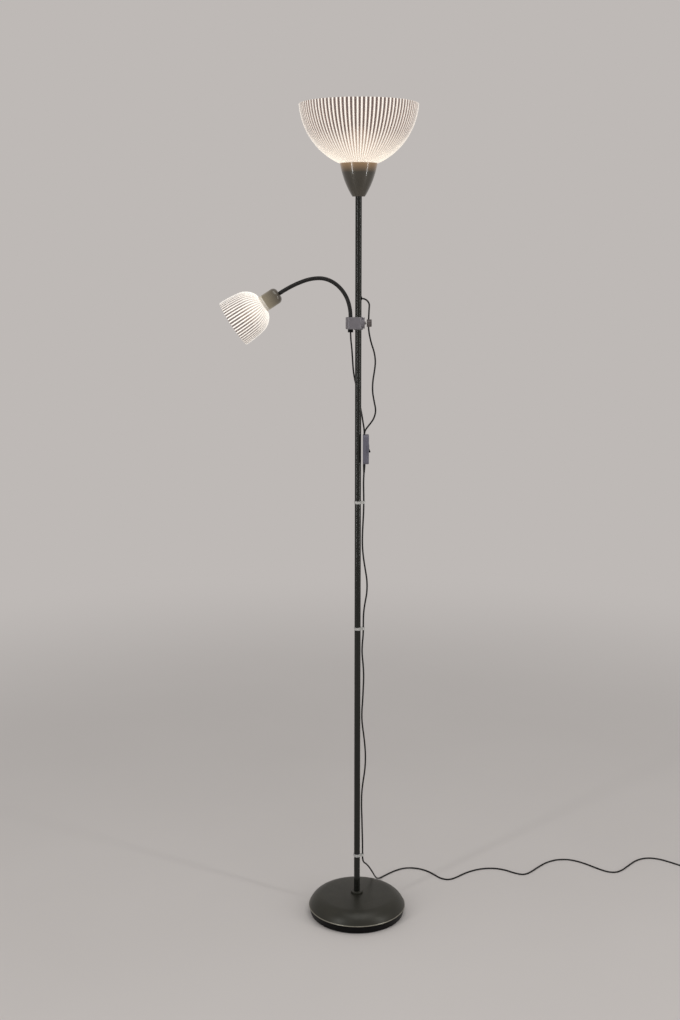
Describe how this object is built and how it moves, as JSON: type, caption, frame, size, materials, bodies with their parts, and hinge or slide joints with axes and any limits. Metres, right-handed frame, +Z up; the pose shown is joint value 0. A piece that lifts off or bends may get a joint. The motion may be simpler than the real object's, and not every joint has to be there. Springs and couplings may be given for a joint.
{
  "type": "torchiere floor lamp",
  "caption": "Floor lamp with a ribbed clear uplighter bowl on a slim pole, a clamped gooseneck reading light, round base, switch and mains lead.",
  "frame": {"origin": "on the floor at the pole's axis, in the middle of the base's felt", "axes": "+Z up along the pole, -X towards the reading light, -Y towards the viewer"},
  "size_m": [1.2429, 0.4003, 1.8],
  "materials": {
    "felt": "black felt",
    "black_plastic": "black moulded",
    "weight": "rough casting",
    "zinc_steel": "zinc plated",
    "anthracite_metal": "satin anthracite paint",
    "glossy_anthracite": "glossy warm anthracite",
    "clear_clip": "clear moulded",
    "ribbed_clear": "clear ribbed",
    "holder_plastic": "light moulded",
    "bulb_glass": "opal",
    "brass": "plain brass",
    "grey_plastic": "light grey moulded",
    "liner_plastic": "nylon",
    "bright_steel": "bright",
    "neck_sleeve": "black sleeve",
    "switch_grey": "blue-grey moulded",
    "black_cord": "black cord"
  },
  "bodies": {
    "stand": {"base_felt": "felt", "base_tray": "black_plastic", "base_weight": "weight", "base_washer": "zinc_steel", "base_nut": "zinc_steel", "base_stud": "zinc_steel", "base_cover": "anthracite_metal", "base_collar": "anthracite_metal", "pole_tube_1": "anthracite_metal", "pole_tube_2": "anthracite_metal", "pole_tube_3": "anthracite_metal", "pole_tube_4": "anthracite_metal", "pole_coupler_1": "zinc_steel", "pole_coupler_2": "zinc_steel", "pole_coupler_3": "zinc_steel", "pole_grommet": "black_plastic", "lead_clip_1": "clear_clip", "lead_clip_2": "clear_clip", "lead_clip_3": "clear_clip", "top_nipple": "zinc_steel", "top_cup": "glossy_anthracite", "top_lock_nut": "zinc_steel", "top_holder": "holder_plastic", "top_shade_ring": "holder_plastic", "top_shade": "ribbed_clear", "top_bulb_cap": "brass", "top_bulb_glass": "bulb_glass", "switch_base": "switch_grey", "switch_cover": "switch_grey", "switch_pin": "bright_steel", "lead_lamp": "black_cord", "lead_arm_lower": "black_cord", "lead_mains": "black_cord", "lead_coil": "black_cord", "plug_body": "black_cord", "plug_pin_1": "bright_steel", "plug_pin_2": "bright_steel"},
    "clamp_slide": {"clamp_liner": "liner_plastic"},
    "clamp_turn": {"clamp_body": "grey_plastic", "clamp_insert": "brass", "clamp_nut": "black_plastic", "gooseneck_1": "neck_sleeve", "lead_arm_upper": "black_cord"},
    "clamp_press": {"clamp_pad": "grey_plastic"},
    "clamp_screw": {"clamp_screw": "bright_steel", "clamp_knob": "grey_plastic"},
    "neck_2": {"gooseneck_2": "neck_sleeve"},
    "neck_3": {"gooseneck_3": "neck_sleeve"},
    "neck_4": {"gooseneck_4": "neck_sleeve"},
    "neck_5": {"gooseneck_5": "neck_sleeve"},
    "neck_6": {"gooseneck_6": "neck_sleeve"},
    "reading_head": {"gooseneck_7": "neck_sleeve", "head_cap": "glossy_anthracite", "head_nut": "zinc_steel", "head_holder": "holder_plastic", "head_shade_ring": "holder_plastic", "head_shade": "ribbed_clear", "head_bulb_cap": "brass", "head_bulb_glass": "bulb_glass"},
    "rocker": {"switch_rocker": "black_plastic"}
  },
  "joints": [
    {"name": "clamp_height", "type": "slide", "parent": "stand", "child": "clamp_slide", "axis": [0, 0, 1], "range_m": [-0.1, 0.01], "deforming": ["lead_arm_lower"]},
    {"name": "clamp_swivel", "type": "hinge", "parent": "clamp_slide", "child": "clamp_turn", "pos_m": [0, 0, 1.35], "axis": [0, 0, 1], "range_deg": [-90, 90], "deforming": ["lead_arm_upper"]},
    {"name": "knob_turn", "type": "hinge", "parent": "clamp_press", "child": "clamp_screw", "pos_m": [0.02, 0, 1.35075], "axis": [1, 0, 0], "range_deg": [0, 720]},
    {"name": "pad_travel", "type": "slide", "parent": "clamp_turn", "child": "clamp_press", "axis": [1, 0, 0], "range_m": [0, 0.0014]},
    {"name": "rocker_tilt", "type": "hinge", "parent": "stand", "child": "rocker", "pos_m": [0.022, 0, 1.081], "axis": [0, 1, 0], "range_deg": [0, 24]},
    {"name": "neck_bend_1", "type": "hinge", "parent": "clamp_turn", "child": "neck_2", "pos_m": [-0.02073, 0, 1.39289], "axis": [0, 1, 0], "range_deg": [-10, 14]},
    {"name": "neck_bend_2", "type": "hinge", "parent": "neck_2", "child": "neck_3", "pos_m": [-0.03417, 0, 1.41927], "axis": [0, 1, 0], "range_deg": [-10, 14]},
    {"name": "neck_bend_3", "type": "hinge", "parent": "neck_3", "child": "neck_4", "pos_m": [-0.05681, 0, 1.43827], "axis": [0, 1, 0], "range_deg": [-10, 14]},
    {"name": "neck_bend_4", "type": "hinge", "parent": "neck_4", "child": "neck_5", "pos_m": [-0.0855, 0, 1.44489], "axis": [0, 1, 0], "range_deg": [-10, 14]},
    {"name": "neck_bend_5", "type": "hinge", "parent": "neck_5", "child": "neck_6", "pos_m": [-0.11467, 0, 1.43948], "axis": [0, 1, 0], "range_deg": [-10, 14]},
    {"name": "neck_bend_6", "type": "hinge", "parent": "neck_6", "child": "reading_head", "pos_m": [-0.14206, 0, 1.42786], "axis": [0, 1, 0], "range_deg": [-10, 14]}
  ],
  "couplings": [
    {"joint": "pad_travel", "follows": "knob_turn", "m_per_rad": 0.00011141},
    {"joint": "neck_bend_2", "follows": "neck_bend_1", "ratio": 1},
    {"joint": "neck_bend_3", "follows": "neck_bend_1", "ratio": 1},
    {"joint": "neck_bend_4", "follows": "neck_bend_1", "ratio": 1},
    {"joint": "neck_bend_5", "follows": "neck_bend_1", "ratio": 1},
    {"joint": "neck_bend_6", "follows": "neck_bend_1", "ratio": 1}
  ]
}
